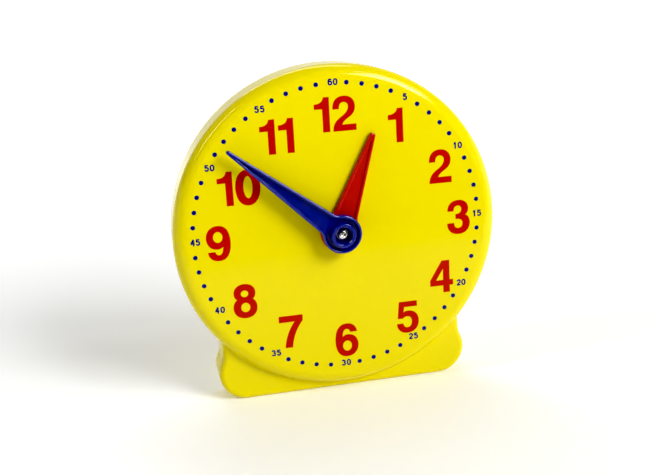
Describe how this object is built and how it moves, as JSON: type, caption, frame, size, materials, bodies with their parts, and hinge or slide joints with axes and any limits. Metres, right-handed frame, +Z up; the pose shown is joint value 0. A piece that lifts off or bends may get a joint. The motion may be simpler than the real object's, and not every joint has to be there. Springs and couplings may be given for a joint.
{
  "type": "geared teaching clock",
  "caption": "Table-standing teaching clock: round case with rounded rim on a wide flat foot, printed dial, and two hands geared together so the hour hand follows the minute hand.",
  "frame": {"origin": "middle of the bounding box's underside: on the table, midway between the hand boss in front and the back plate, under the hand axis", "axes": "+Z up, the dial faces -Y, +X to the right as seen from the front; the hand axis runs along Y at x = 0, z = 64.8 mm"},
  "size_m": [0.1244, 0.0274, 0.127],
  "materials": {
    "yellow_case": "glossy injection-moulded polystyrene, yellow",
    "blue_hand": "glossy injection-moulded plastic, blue",
    "red_hand": "glossy injection-moulded plastic, red",
    "bright_screw": "bright nickel plate",
    "zinc_steel": "zinc plate",
    "plain_steel": "ground steel",
    "spring_steel": "blued spring strip",
    "white_moulding": "natural white acetal",
    "washer_nylon": "natural nylon",
    "red_print": "red pad-printing ink",
    "blue_print": "blue pad-printing ink"
  },
  "bodies": {
    "case": {"front_housing": "yellow_case", "rear_cover": "yellow_case", "rear_cover_screws": "zinc_steel", "gear_bridge": "white_moulding", "gear_bridge_screws": "zinc_steel", "idler_pin": "plain_steel", "idler_washer": "washer_nylon", "hour_wheel_washer": "washer_nylon", "friction_spring": "spring_steel"},
    "minute_drive": {"minute_arbor": "white_moulding", "minute_hand": "blue_hand", "hand_screw": "bright_screw"},
    "idler": {"idler_gear": "white_moulding"},
    "hour_drive": {"hour_wheel": "white_moulding", "hour_hand": "red_hand"}
  },
  "joints": [
    {"name": "minute_turn", "type": "hinge", "parent": "case", "child": "minute_drive", "pos_m": [0, -0.0053, 0.0648], "axis": [0, 1, 0], "continuous": true},
    {"name": "idler_turn", "type": "hinge", "parent": "case", "child": "idler", "pos_m": [0, 0.003, 0.0408], "axis": [0, 1, 0], "continuous": true},
    {"name": "hour_turn", "type": "hinge", "parent": "case", "child": "hour_drive", "pos_m": [0, -0.0053, 0.0648], "axis": [0, 1, 0], "continuous": true}
  ],
  "couplings": [
    {"joint": "idler_turn", "follows": "minute_turn", "ratio": -0.33333},
    {"joint": "hour_turn", "follows": "minute_turn", "ratio": 0.083333}
  ]
}
